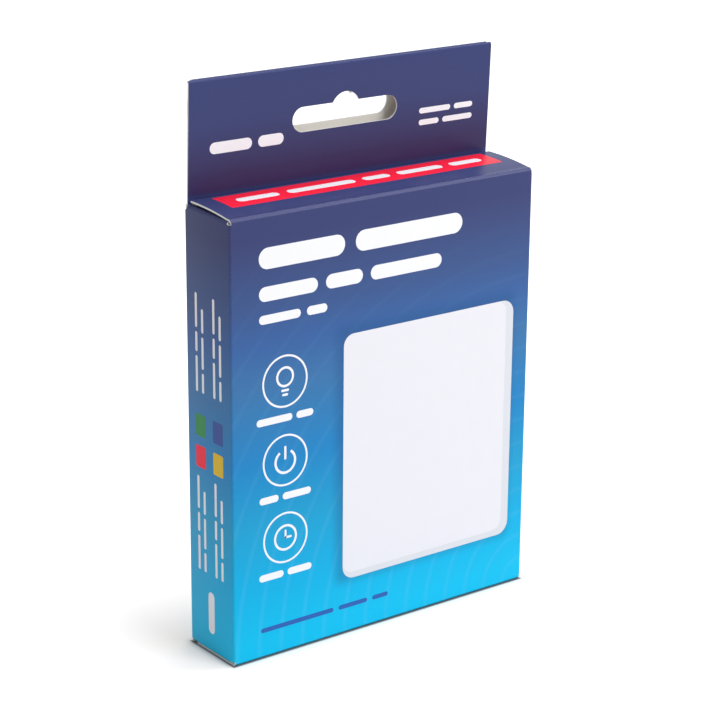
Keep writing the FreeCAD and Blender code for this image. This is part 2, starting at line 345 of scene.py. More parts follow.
def new_plane(
    name: str, width: float, height: float, middle: Sequence[float] = (0, 0, 0), turn: Triple = (0, 0, 0)
) -> Piece:
    """Add a named plane.

    Args:
        name: its name.
        width: its size along X before it is turned.
        height: its size along Y before it is turned.
        middle: its middle.
        turn: its angles about X, Y and Z.

    Returns:
        The plane, with its place in its mesh.
    """
    bpy.ops.mesh.primitive_plane_add(size=1, location=middle, rotation=turn)
    piece = bpy.context.active_object
    piece.name = name
    piece.scale = (width, height, 1)
    apply_place(piece)
    return piece


# Sizes


@dataclass(frozen=True)
class CartonSizes:
    """The carton's sizes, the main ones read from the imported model."""

    half_width: float
    front: float
    tab_top: float
    lid_level: float
    lid_half_width: float
    lid_rear: float
    hinge: float
    lid_rise: float = 1.2 * MM
    lid_bow: float = 0.3 * MM
    lid_landing: float = 0.68 * MM
    lid_gap: float = 0.01 * MM
    board: float = 0.45 * MM
    shoulder: float = 0.02 * MM
    upright_crease: float = 0.6 * MM
    tuck_crease: float = 0.9 * MM
    tuck_length: float = 9.0 * MM
    tuck_angle: float = math.radians(20)
    tuck_inset: float = 1.0 * MM
    tuck_corner: float = 4.0 * MM
    flap_drop: float = 0.6 * MM
    flap_lift: float = 0.8 * MM
    flap_crease: float = 0.6 * MM
    flap_length: float = 17.0 * MM
    flap_front: float = -8.3 * MM
    flap_rear: float = 8.2 * MM
    flap_reach: float = 6.0 * MM
    flap_taper: float = 1.0 * MM
    flap_corner: float = 4.0 * MM
    flap_side_clearance: float = 0.3 * MM
    tab_lean: float = 1.2 * MM
    tab_bow: float = 3.2 * MM
    tab_fold: float = 0.9 * MM
    tab_rear_inset: float = 1.6 * MM
    tab_rear_taper: float = math.radians(7.5)
    tab_lap: float = 4.0 * MM
    glue_line: float = 0.05 * MM
    hole_length: float = 31.75 * MM
    hole_height: float = 6.2 * MM
    hole_level: float = 16.4 * MM
    hole_offset: float = 0.9 * MM
    bump_width: float = 7.9 * MM
    bump_radius: float = 4.45 * MM
    glue_flap_width: float = 12.0 * MM
    glue_flap_slope: float = 4.0 * MM
    glue_flap_margin: float = 3.0 * MM

    @classmethod
    def from_frame(cls, frame: dict) -> CartonSizes:
        """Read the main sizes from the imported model.


        Returns:
            The carton's sizes.
        """
        body_low, body_high = (Vector(corner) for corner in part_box("carton_body"))
        _, lid_high = (Vector(corner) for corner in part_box("top_lid"))
        hinge = next(joint for joint in frame["joints"] if joint["name"] == "top_lid_hinge")
        return cls(
            half_width=body_high.x,
            front=body_low.y,
            tab_top=body_high.z,
            lid_level=lid_high.z - cls.lid_rise,
            lid_half_width=lid_high.x,
            lid_rear=lid_high.y,
            hinge=hinge["pos_m"][Y_AXIS],
        )

    @property
    def back(self) -> float:
        """The back panel's outer face."""
        return -self.front

    @property
    def lid_crease(self) -> float:
        """The outer radius of the crease between a lid and the front panel."""
        return self.hinge - self.front

    @property
    def sleeve_top(self) -> float:
        """Where the side panels start to bend into the dust flaps."""
        return self.lid_level - self.flap_drop - self.flap_crease

    @property
    def tuck_half_width(self) -> float:
        """Half the width of a tuck flap."""
        return self.lid_half_width - self.tuck_inset

    @property
    def tab_front(self) -> float:
        """The hang tab's front face at the lid's level."""
        return self.back - 2 * self.board - self.glue_line

    def rear_half_width(self, z: float) -> float:
        """Half the width of the hang tab's rear layer at a height."""
        return self.half_width - self.tab_rear_inset - (self.tab_top - z) * math.tan(self.tab_rear_taper)

    def lid_height(self, y: float) -> float:
        """How far the top lid stands above its hinge.

        Args:
            y: the place in the lid's depth.

        Returns:
            The height of the lid's outer face.
        """
        start = Vector((0, self.hinge + self.lid_landing, 0))
        end = Vector((0, self.lid_rear - self.tuck_crease, self.lid_rise))
        centre, radius = bow_circle(end, start, self.lid_bow)
        inside = min(max(y, start.y), end.y)
        return centre.z + math.sqrt(radius**2 - (inside - centre.y) ** 2)


# Finishes


class Colour(Enum):
    """The print's and the board's colours, as sRGB hex values."""

    # Plum: painted reflection of the lid's red stripe on the hang tab's foot
    PLUM = "#392f5c"
    NAVY = "#3a4171"
    DUSK_BLUE = "#3c578d"
    DEEP_BLUE = "#3963a1"
    STEEL_BLUE = "#3c74aa"
    MID_BLUE = "#1d85c5"
    SKY_BLUE = "#199fd1"
    BRIGHT_BLUE = "#00b1e5"
    CYAN = "#00c3f0"
    LINE_BLUE = "#7fc4ea"
    SHADOW_BLUE = "#1d4f86"
    # Pale lavender of the crease flecks: wear, tinted as a painted highlight on the creases
    CREASE = "#a8b6e8"
    BOARD_EDGE = "#f4f3f0"
    BOARD_BACK = "#f7f4ee"
    BOARD_FIBRE = "#eae1d4"
    WHITE = "#f6f6fa"
    PLATE = "#ecebf2"
    PLATE_SHADE = "#dfe1e8"
    RED = "#ff2440"
    INK_BLUE = "#2f62b4"
    YELLOW = "#e9c11f"
    GREEN = "#2f8f4e"
    SIGNAL_BLUE = "#2a4d9b"

    @property
    def rgba(self) -> tuple[float, float, float, float]:
        """The colour as linear values."""
        return linear(self.value)


def empty_tree(owner: Material | bpy.types.World) -> Adder:
    """Clear a material's or the world's node tree.

    Args:
        owner: the material or the world.

    Returns:
        add_node for that tree.
    """
    owner.use_nodes = True
    owner.node_tree.nodes.clear()
    return partial(add_node, owner.node_tree)


def start_material(name: str) -> tuple[Material, Adder, Socket]:
    """Make an empty node material.

    Args:
        name: the material's name.

    Returns:
        The material, add_node for its tree and the object coordinates in it.
    """
    material = bpy.data.materials.new(name)
    add = empty_tree(material)
    return material, add, add("TexCoord").outputs["Object"]


def end_material(add: Adder, inputs: dict[str, object]) -> None:
    """Close a material with a Principled shader that has these inputs."""
    shader = add("BsdfPrincipled", inputs)
    add("OutputMaterial", {"Surface": shader})


@dataclass(frozen=True)
class Varnish:
    """Dispersion varnish over offset print: a semi-gloss skin that shows the board's mottle."""

    smoothest: float = 0.26
    roughest: float = 0.36
    reflection: float = 0.14
    mottle: float = 0.7 * MM
    mottle_height: float = 0.004 * MM
    waviness: float = 26 * MM
    wave_height: float = 0.05 * MM

    def coat(self, add: Adder, place: Socket) -> dict[str, object]:
        """Add the varnish's relief and gloss.

        Args:
            add: adds a node to the material.
            place: object coordinates.

        Returns:
            The shader's inputs.
        """
        wave = add("TexNoise", {"Vector": place, "Scale": per_size(self.waviness), "Detail": 1.0})
        grain = add("TexNoise", {"Vector": place, "Scale": per_size(self.mottle), "Detail": 3.0})
        broad = add("Bump", {"Height": wave, "Distance": self.wave_height, "Strength": 1.0})
        relief = {"Height": grain, "Distance": self.mottle_height, "Strength": 1.0, "Normal": broad}
        fine = add("Bump", relief)
        gloss = add("MapRange", {"Value": grain, "To Min": self.smoothest, "To Max": self.roughest})
        return {"Normal": fine, "Roughness": gloss, "Specular IOR Level": self.reflection}


@dataclass(frozen=True)
class GradientPrint:
    """The carton's outside: a printed fade from navy to cyan with faint rings, under varnish, with a plum
    band at the hang tab's foot that is painted reflection of the lid's red stripe, over the varnish's own
    reflection of it.
    """

    sizes: CartonSizes
    stops: tuple[tuple[float, Colour], ...] = (
        (4 * MM, Colour.CYAN),
        (19 * MM, Colour.BRIGHT_BLUE),
        (35 * MM, Colour.SKY_BLUE),
        (51 * MM, Colour.MID_BLUE),
        (70 * MM, Colour.STEEL_BLUE),
        (80 * MM, Colour.DEEP_BLUE),
        (89 * MM, Colour.DUSK_BLUE),
        (106 * MM, Colour.NAVY),
        (113.4 * MM, Colour.NAVY),
        # The plum band at the hang tab's foot is painted reflection of the lid's red stripe, over the
        # varnish's own reflection of it
        (114.2 * MM, Colour.PLUM),
        (118 * MM, Colour.PLUM),
        (130 * MM, Colour.NAVY),
    )
    front_margin: float = 0.2 * MM
    ring_centre: Triple = (46 * MM, 0.0, 0.0)
    ring_spacing: float = 6.5 * MM
    ring_width: float = 0.3
    ring_strength: float = 0.1
    ring_top: float = 104 * MM
    glow_reach: float = 4.5 * MM
    glow_strength: float = 0.45
    crease_core: float = 0.25 * MM
    crease_reach: float = 1.0 * MM
    fleck: float = 0.35 * MM
    fleck_range: tuple[float, float] = (0.5, 0.9)
    fleck_strength: float = 0.15
    varnish: Varnish = Varnish()

    def build(self) -> Material:
        """Make the material.

        Returns:
            The material.
        """
        material, add, place = start_material("varnished_gradient_print")
        top = self.sizes.tab_top
        axes = add("SeparateXYZ", {"Vector": place})
        level = add("MapRange", {"Value": axes.outputs["Z"], "From Max": top})
        colour = add("ValToRGB", {"Fac": level})
        fill_ramp(colour, [(position / top, stop.rgba) for position, stop in self.stops])
        limit = self.sizes.front + self.front_margin
        on_front = add("Math", {0: axes.outputs["Y"], 1: limit}, operation="LESS_THAN")
        layers = (
            (self._rings(add, axes, on_front), Colour.LINE_BLUE),
            (self._plate_shadow(add, place, on_front), Colour.SHADOW_BLUE),
            # Flecks along the creases: wear, and painted highlight
            (self._crease_wear_and_highlight(add, place), Colour.CREASE),
        )
        for share, tint in layers:
            colour = add("Mix", {"Factor": share, "A": colour, "B": tint.rgba}, data_type="RGBA")
        end_material(add, {"Base Color": colour, **self.varnish.coat(add, place)})
        return material

    def _rings(self, add: Adder, axes: Node, on_front: Node) -> Node:
        """Lay soft paler rings over the front's fade, weaker towards the top.

        Args:
            add: adds a node to the material.
            axes: the split object coordinates.
            on_front: one on the front panel.

        Returns:
            The rings' share of the colour.
        """
        flat = add("CombineXYZ", {"X": axes.outputs["X"], "Z": axes.outputs["Z"]})
        reach = add("VectorMath", {0: flat, 1: self.ring_centre}, operation="DISTANCE")
        half = self.ring_spacing / 2
        turn = add("Math", {0: reach, 1: half}, operation="PINGPONG")
        edge = {"From Max": half * self.ring_width, "To Min": self.ring_strength, "To Max": 0.0}
        line = add("MapRange", {"Value": turn, **edge}, interpolation_type="SMOOTHSTEP")
        fall = {"Value": axes.outputs["Z"], "From Max": self.ring_top, "To Min": 1.0, "To Max": 0.0}
        weaker = add("MapRange", fall)
        there = add("Math", {0: weaker, 1: on_front}, operation="MULTIPLY")
        return add("Math", {0: line, 1: there}, operation="MULTIPLY")

    def _plate_shadow(self, add: Adder, place: Socket, on_front: Node) -> Node:
        """Print a soft shadow round the pictured plate.

        Args:
            add: adds a node to the material.
            place: object coordinates.
            on_front: one on the front panel.

        Returns:
            The shadow's share of the colour.
        """
        middle = Vector((PLATE.across * MM - self.sizes.half_width, self.sizes.front, PLATE.up * MM))
        half = Vector((PLATE.length / 2 * MM, MM, PLATE.height / 2 * MM))
        reach = distance_past(add, past_box(add, place, middle, half))
        edge = {"Value": reach, "From Max": self.glow_reach, "To Min": self.glow_strength, "To Max": 0.0}
        soft = add("MapRange", edge, interpolation_type="SMOOTHSTEP")
        return add("Math", {0: soft, 1: on_front}, operation="MULTIPLY")

    def _crease_wear_and_highlight(self, add: Adder, place: Socket) -> Node:
        """Fleck the print pale lavender along the creases: partly wear where the print is stretched, partly a
        painted highlight on the crease.

        Args:
            add: adds a node to the material.
            place: object coordinates.

        Returns:
            The flecks' share of the colour.
        """
        middle = self.sizes.lid_level / 2
        corner = (self.sizes.half_width, self.sizes.back, middle)
        past = past_box(add, place, (0.0, 0.0, middle), corner)
        parts = add("SeparateXYZ", {"Vector": past})
        reaches = []
        for across in ("X", "Z"):
            line = add("CombineXYZ", {"X": parts.outputs[across], "Y": parts.outputs["Y"]})
            reaches.append(add("VectorMath", {0: line}, operation="LENGTH"))
        nearest = add("Math", dict(enumerate(reaches)), operation="MINIMUM")
        fall = {"From Min": self.crease_core, "From Max": self.crease_reach, "To Min": 1.0, "To Max": 0.0}
        crease = add("MapRange", {"Value": nearest, **fall})
        speckle = add("TexNoise", {"Vector": place, "Scale": per_size(self.fleck), "Detail": 4.0})
        low, high = self.fleck_range
        spots = {"From Min": low, "From Max": high, "To Max": self.fleck_strength}
        flecks = add("MapRange", {"Value": speckle, **spots})
        return add("Math", {0: crease, 1: flecks}, operation="MULTIPLY")


@dataclass(frozen=True)
class Ink:
    """A solid patch of offset ink under the same varnish, a little uneven in density."""

    colour: Colour
    unevenness: float = 5 * MM
    thinnest: float = 0.985
    thickest: float = 1.01
    varnish: Varnish = Varnish()

    def build(self) -> Material:
        """Make the material, or find it if it was made before.

        Returns:
            The material.
        """
        name = f"varnished_{self.colour.name.lower()}_ink"
        if name in bpy.data.materials:
            return bpy.data.materials[name]
        material, add, place = start_material(name)
        density = add("TexNoise", {"Vector": place, "Scale": per_size(self.unevenness), "Detail": 5.0})
        shade = add("MapRange", {"Value": density, "To Min": self.thinnest, "To Max": self.thickest})
        tint = add("VectorMath", {0: self.colour.rgba[:3], "Scale": shade}, operation="SCALE")
        end_material(add, {"Base Color": tint, **self.varnish.coat(add, place)})
        return material


@dataclass(frozen=True)
class BareBoard:
    """Uncoated folding boxboard: matt, faintly warm, with fibres lying along the sheet."""

    name: str
    pale: Colour
    dark: Colour
    fibre: Triple = (0.25 * MM, 0.25 * MM, 1.2 * MM)
    fibre_range: tuple[float, float] = (0.4, 0.8)
    fibre_height: float = 0.02 * MM
    contrast: float = 0.35
    roughness: float = 0.9
    reflection: float = 0.25

    def build(self) -> Material:
        """Make the material.

        Returns:
            The material.
        """
        material, add, place = start_material(self.name)
        stretch = tuple(per_size(size) for size in self.fibre)
        along = add("Mapping", {"Vector": place, "Scale": stretch})
        fibres = add("TexNoise", {"Vector": along, "Scale": 1.0, "Detail": 4.0})
        low, high = self.fibre_range
        share = add("MapRange", {"Value": fibres, "From Min": low, "From Max": high, "To Max": self.contrast})
        colour = add("Mix", {"Factor": share, "A": self.pale.rgba, "B": self.dark.rgba}, data_type="RGBA")
        relief = add("Bump", {"Height": fibres, "Distance": self.fibre_height})
        surface = {"Roughness": self.roughness, "Specular IOR Level": self.reflection}
        end_material(add, {"Base Color": colour, "Normal": relief, **surface})
        return material


@dataclass(frozen=True)
class BoardFinish:
    """The three faces of the board, in the order of a piece's material slots."""

    outside: Material
    inside: Material
    edge: Material

    def dress(self, piece: Piece, board: float) -> None:
        """Give a sheet the board's three materials and its thickness.

        Args:
            piece: the sheet, which is the board's outside.
            board: the thickness.
        """
        for material in (self.outside, self.inside, self.edge):
            piece.data.materials.append(material)
        faces = {"material_offset": 1, "material_offset_rim": 2}
        apply_modifier(piece, "SOLIDIFY", thickness=board, offset=-1.0, use_even_offset=True, **faces)


# The carton's board


@dataclass
class CartonSheet:
    """The sleeve, front creases, dust flaps and hang tab, folded from one sheet."""

    sizes: CartonSizes
    finish: BoardFinish
    crease_steps: int = 6
    bow_steps: int = 16
    hole_steps: int = 16
    hole_rounding: float = 0.999
    bump_corners: int = 64
    widening: float = 0.3 * MM
    score_bend: float = math.radians(8)
    sheet: Piece = field(init=False)

    def build(self) -> Piece:
        """Model the sheet, give it its thickness and punch the hang hole.

        Returns:
            The folded sheet.
        """
        sizes = self.sizes
        self._sleeve()
        with editing(self.sheet):
            for lower in (False, True):
                self._front_crease(lower)
                for side in (-1, 1):
                    self._dust_flap(side, lower)
            self._back_edge()
            self._hang_tab()
        cut_corners(self.sheet, sizes.flap_corner, 1, self._at_flap_corner)
        self.finish.dress(self.sheet, sizes.board)
        beyond = 3 * sizes.back
        # The front layer's hole, then the rear layer's, which lies a little higher
        self._punch_hole(0, sizes.back, 0)
        self._punch_hole(sizes.back, beyond, sizes.hole_offset)
        smooth(self.sheet)
        return self.sheet

    def _level(self, height: float, lower: bool) -> float:
        """A height at the top, or the same place mirrored to the bottom."""
        return self.sizes.lid_level - height if lower else height

    def _sleeve(self) -> None:
        """The four upright panels, from a box with its ends taken off and its corners rounded."""
        sizes = self.sizes
        bpy.ops.mesh.primitive_cube_add(size=1, location=(0, 0, sizes.lid_level / 2))
        self.sheet = sleeve = bpy.context.active_object
        sleeve.name = "carton_sheet"
        height = 2 * sizes.sleeve_top - sizes.lid_level
        sleeve.scale = (2 * sizes.half_width, 2 * sizes.back, height)
        apply_place(sleeve)
        with editing(sleeve, "FACE"):
            pick(sleeve, "faces", lambda face: abs(face.normal.z) > FACING)
            bpy.ops.mesh.delete(type="ONLY_FACE")
            bpy.ops.mesh.select_mode(type="EDGE")
            pick(sleeve, "edges", lambda edge: abs(edge.verts[0].co.z - edge.verts[1].co.z) > height / 2)
            bpy.ops.mesh.bevel(offset=sizes.upright_crease, segments=self.crease_steps, profile=0.5)

    def _front_crease(self, lower: bool) -> None:
        """Bend the front panel's edge over to the hinge line, with the flat that a score leaves.

        Args:
            lower: whether it is the bottom edge.
        """
        sizes = self.sizes
        centre = Vector((0, sizes.hinge, sizes.lid_level - sizes.lid_crease))
        places = [Vector((0, sizes.front, z)) for z in (sizes.sleeve_top + self.widening, centre.z)]
        turns = (math.pi, math.pi - self.score_bend, math.pi / 2 + self.score_bend, math.pi / 2)
        for start, end in zip(turns, turns[1:]):
            places += arc_points(centre, sizes.lid_crease, start, end, 1)
        for place in places:
            place.z = self._level(place.z, lower)
        top = self._level(sizes.sleeve_top, lower)
        fold_out(self.sheet, X_AXIS, even_lines(places, sizes.lid_half_width), y=sizes.front, z=top)

    def _dust_flap(self, side: int, lower: bool) -> None:
        """Bend a side panel's edge inwards into a dust flap, which springs up at the back of the top.

        Args:
            side: -1 for the left panel and 1 for the right.
            lower: whether it is the bottom edge.
        """
        sizes = self.sizes
        level = sizes.lid_level - sizes.flap_drop
        neck = sizes.tuck_half_width + sizes.flap_side_clearance
        full = (sizes.flap_front, sizes.flap_rear)
        rows = [(sizes.half_width, sizes.sleeve_top + sizes.shoulder, full)]
        for step in range(1, self.crease_steps + 1):
            angle = math.pi / 2 * step / self.crease_steps
            x = sizes.half_width - sizes.flap_crease * (1 - math.cos(angle))
            rows.append((x, sizes.sleeve_top + sizes.flap_crease * math.sin(angle), full))
        rows.append((neck, level, full))
        rows.append((neck - sizes.shoulder, level, (sizes.flap_front, sizes.flap_reach)))
        tip = sizes.half_width - sizes.flap_length
        rows.append((tip, level, (sizes.flap_front + sizes.flap_taper, sizes.flap_reach)))
        lines = [FoldLine(Vector((side * x, 0, self._level(z, lower))), *reach) for x, z, reach in rows]
        top = self._level(sizes.sleeve_top, lower)
        fold_out(self.sheet, Y_AXIS, lines, x=side * sizes.half_width, z=top)
        if not lower:
            self._lift_flap(side)

    def _lift_flap(self, side: int) -> None:
        """Raise a top dust flap towards the back, in step with its distance from the front.

        Args:
            side: -1 for the left flap and 1 for the right.
        """
        sizes = self.sizes
        slope = sizes.flap_lift / (sizes.flap_rear - sizes.flap_front)
        for vertex in bmesh.from_edit_mesh(self.sheet.data).verts:
            inside = sizes.flap_front - CLOSE < vertex.co.y < sizes.flap_rear + CLOSE
            if inside and vertex.co.z > sizes.sleeve_top + CLOSE / 2 and vertex.co.x * side > 0:
                vertex.co.z += slope * (vertex.co.y - sizes.flap_front)
        bmesh.update_edit_mesh(self.sheet.data)

    def _back_edge(self) -> None:
        """Carry the back panel down to the carton's foot."""
        sizes = self.sizes
        bottom = sizes.lid_level - sizes.sleeve_top
        places = [Vector((0, sizes.back, z)) for z in (bottom - self.widening, 0)]
        fold_out(self.sheet, X_AXIS, even_lines(places, sizes.lid_half_width), y=sizes.back, z=bottom)

    def _hang_tab(self) -> None:
        """Carry the back panel up, bow it backwards and fold it over into the hang tab."""
        sizes = self.sizes
        slope = 2 * math.atan(2 * sizes.tab_bow / (sizes.tab_top - sizes.lid_level))
        front_top = sizes.tab_front - sizes.tab_lean
        fold = Vector((0, front_top + sizes.tab_fold, sizes.tab_top - sizes.tab_fold))
        fold_end = fold + sizes.tab_fold * Vector((0, math.cos(slope), math.sin(slope)))
        root = Vector((0, sizes.back, sizes.lid_level))
        cut = math.acos(sizes.board / sizes.tab_fold - 1)
        widened = cut + sizes.shoulder / sizes.tab_fold
        centre, radius = bow_circle(root, fold_end, sizes.tab_bow)
        start, end = (math.atan2(p.z - centre.z, p.y - centre.y) for p in (root, fold_end))

        rear = [root + Vector((0, 0, sizes.shoulder))]
        rear += arc_points(centre, radius, start, end, self.bow_steps)
        rear += arc_points(fold, sizes.tab_fold, slope, cut, self.crease_steps)
        front = arc_points(fold, sizes.tab_fold, cut, widened, 1)
        front += arc_points(fold, sizes.tab_fold, widened, math.pi, self.crease_steps)
        foot = (sizes.lid_level, sizes.lid_level - sizes.tab_lap)
        front += [Vector((0, sizes.tab_front, z)) for z in foot]

        full = sizes.lid_half_width
        lines = even_lines([Vector((0, sizes.back, sizes.sleeve_top + self.widening)), root], full)
        for place in rear:
            lines += even_lines([place], sizes.rear_half_width(place.z))
        lines += even_lines(front, full)
        fold_out(self.sheet, X_AXIS, lines, y=sizes.back, z=sizes.sleeve_top)

    def _at_flap_corner(self, vertex: bmesh.types.BMVert) -> bool:
        """Whether a vertex is the corner of a dust flap that meets a tuck flap."""
        tip = self.sizes.half_width - self.sizes.flap_length
        return abs(abs(vertex.co.x) - tip) < CLOSE and near(vertex, y=self.sizes.flap_reach)

    def _punch_hole(self, near_end: float, far_end: float, rise: float) -> None:
        """Punch the euro hole through one layer of the hang tab.

        Args:
            near_end: where the punch starts, along Y.
            far_end: where the punch ends.
            rise: how far the hole lies above its level.
        """
        sizes = self.sizes
        level = sizes.lid_level + sizes.hole_level + rise
        depth, middle = far_end - near_end, (near_end + far_end) / 2
        upright = (math.pi / 2, 0, 0)
        half = sizes.hole_height / 2
        slot = new_plane("slot_punch", sizes.hole_length, sizes.hole_height)
        cut_corners(slot, half * self.hole_rounding, self.hole_steps)
        slot.rotation_euler = upright
        slot.location = (0, middle, level)
        bump_level = level + half - math.sqrt(sizes.bump_radius**2 - sizes.bump_width**2 / 4)
        bpy.ops.mesh.primitive_cylinder_add(
            vertices=self.bump_corners,
            radius=sizes.bump_radius,
            depth=depth,
            location=(0, middle, bump_level),
            rotation=upright,
        )
        bump = bpy.context.active_object
        for punch in (slot, bump):
            apply_place(punch)
            punch.data.materials.append(self.finish.edge)
        with editing(bump, "FACE"):
            bpy.ops.mesh.bisect(plane_co=(0, 0, level), plane_no=(0, 0, 1), clear_inner=True, use_fill=True)
        apply_modifier(slot, "SOLIDIFY", thickness=depth, offset=0.0)
        cut = {"operation": "DIFFERENCE", "solver": "EXACT", "material_mode": "TRANSFER"}
        for punch in (slot, bump):
            apply_modifier(self.sheet, "BOOLEAN", object=punch, **cut)
            bpy.data.objects.remove(punch)


@dataclass
class Lid:
    """A lid panel with its tuck flap, which hinges on the front panel's edge."""

    name: str
    sizes: CartonSizes
    finish: BoardFinish
    lower: bool
    bow_steps: int = 14
    crease_steps: int = 8
    corner_steps: int = 8
    lid: Piece = field(init=False)

    def build(self) -> Piece:
        """Model the lid with its tuck flap pointing down, and turn it over for the bottom.

        Returns:
            The lid, in place.
        """
        sizes = self.sizes
        start, landing = sizes.hinge + sizes.lid_gap, sizes.hinge + sizes.lid_landing
        middle = (0, (start + landing) / 2, 0)
        self.lid = new_plane(self.name, 2 * sizes.lid_half_width, landing - start, middle)
        with editing(self.lid):
            fold_out(self.lid, X_AXIS, self._lines(landing), y=landing)
        lowest = min(vertex.co.z for vertex in self.lid.data.vertices)
        cut_corners(self.lid, sizes.tuck_corner, self.corner_steps, lambda vertex: near(vertex, z=lowest))
        if self.lower:
            with editing(self.lid, "FACE"):
                bpy.ops.transform.resize(value=(1, 1, -1), center_override=(0, 0, 0))
        else:
            self.lid.location = (0, 0, sizes.lid_level)
            apply_place(self.lid)
        self._face_outwards()
        self.finish.dress(self.lid, sizes.board)
        smooth(self.lid)
        return self.lid

    def _lines(self, landing: float) -> list[FoldLine]:
        """The fold lines from the lid's panel to the tuck flap's tip, at level zero.

        Args:
            landing: where the bow starts.

        Returns:
            The fold lines in order.
        """
        sizes = self.sizes
        depth = sizes.lid_rear - sizes.tuck_crease - landing
        depths = [landing + depth * step / self.bow_steps for step in range(1, self.bow_steps + 1)]
        panel = [Vector((0, y, 0 if self.lower else sizes.lid_height(y))) for y in depths]
        centre = panel[-1] - Vector((0, 0, sizes.tuck_crease))
        tuck = [panel[-1] + Vector((0, sizes.shoulder, 0))]
        tuck += arc_points(centre, sizes.tuck_crease, math.pi / 2, -sizes.tuck_angle, self.crease_steps)
        along = Vector((0, -math.sin(sizes.tuck_angle), -math.cos(sizes.tuck_angle)))
        tuck.append(tuck[-1] + sizes.tuck_length * along)
        return even_lines(panel, sizes.lid_half_width) + even_lines(tuck, sizes.tuck_half_width)

    def _face_outwards(self) -> None:
        """Turn the sheet's faces so that the printed side is outside."""
        panel = max(self.lid.data.polygons, key=lambda face: abs(face.normal.z))
        if (panel.normal.z > 0) == self.lower:
            with editing(self.lid, "FACE"):
                bpy.ops.mesh.flip_normals()


@dataclass
class GlueFlap:
    """The lap that closes the sleeve, glued inside the right panel."""

    sizes: CartonSizes
    finish: BoardFinish

    def build(self) -> Piece:
        """Model the flap from a plane with slanted ends.

        Returns:
            The flap, in place.
        """
        sizes = self.sizes
        low = sizes.lid_level - sizes.sleeve_top + sizes.glue_flap_margin
        high = sizes.sleeve_top - sizes.glue_flap_margin
        y = sizes.back - sizes.upright_crease - sizes.glue_flap_width / 2
        middle = (sizes.half_width - sizes.board, y, (low + high) / 2)
        turn = (math.pi / 2, 0, math.pi / 2)
        flap = new_plane("glue_flap", sizes.glue_flap_width, high - low, middle, turn)
        with editing(flap, "VERT"):
            pick(flap, "verts", lambda vertex: vertex.co.y < y)
            share = 1 - 2 * sizes.glue_flap_slope / (high - low)
            bpy.ops.transform.resize(value=(1, 1, share), center_override=middle)
        self.finish.dress(flap, sizes.board)
        return flap


# Print, with panels measured in millimetres


class Panel(Enum):
    """The panels that carry print."""

    FRONT = "front"
    LEFT = "left"
    RIGHT = "right"
    BACK = "back"
    TAB = "tab"
    LID = "lid"


@dataclass(frozen=True)
class Bar:
    """A round-ended bar of ink: its centre, length, height and end radius on a panel."""

    across: float
    up: float
    length: float
    height: float
    corner: float | None = None
    rounding: float = 0.99
    corner_steps: int = 6

    def draw(self) -> Piece:
        """Model the bar in the XY plane from a plane with rounded corners.

        Returns:
            The bar.
        """
        middle = (self.across * MM, self.up * MM, 0)
        bar = new_plane("bar", self.length * MM, self.height * MM, middle)
        radius = self.corner if self.corner is not None else min(self.length, self.height) / 2
        if radius:
            cut_corners(bar, radius * MM * self.rounding, self.corner_steps)
        return bar


@dataclass(frozen=True)
class Ring:
    """A ring of ink, whole or with a gap at its top."""

    across: float
    up: float
    radius: float
    line: float
    gap: float = 0.0
    corners: int = 96

    def draw(self) -> Piece:
        """Model the ring in the XY plane from an inset disc.

        Returns:
            The ring.
        """
        middle = (self.across * MM, self.up * MM, 0)
        disc = {"vertices": self.corners, "radius": self.radius * MM, "fill_type": "NGON"}
        bpy.ops.mesh.primitive_circle_add(location=middle, **disc)
        ring = bpy.context.active_object
        apply_place(ring)
        with editing(ring, "FACE"):
            bpy.ops.mesh.inset(thickness=self.line * MM, use_boundary=True)
            bpy.ops.mesh.delete(type="FACE")
            if self.gap:
                pick(ring, "faces", self._in_gap)
                bpy.ops.mesh.delete(type="FACE")
        return ring

    def _in_gap(self, face: bmesh.types.BMFace) -> bool:
        """Whether a face lies in the ring's gap."""
        toward = face.calc_center_median() - Vector((self.across * MM, self.up * MM, 0))
        return abs(math.atan2(toward.x, toward.y)) < math.radians(self.gap) / 2


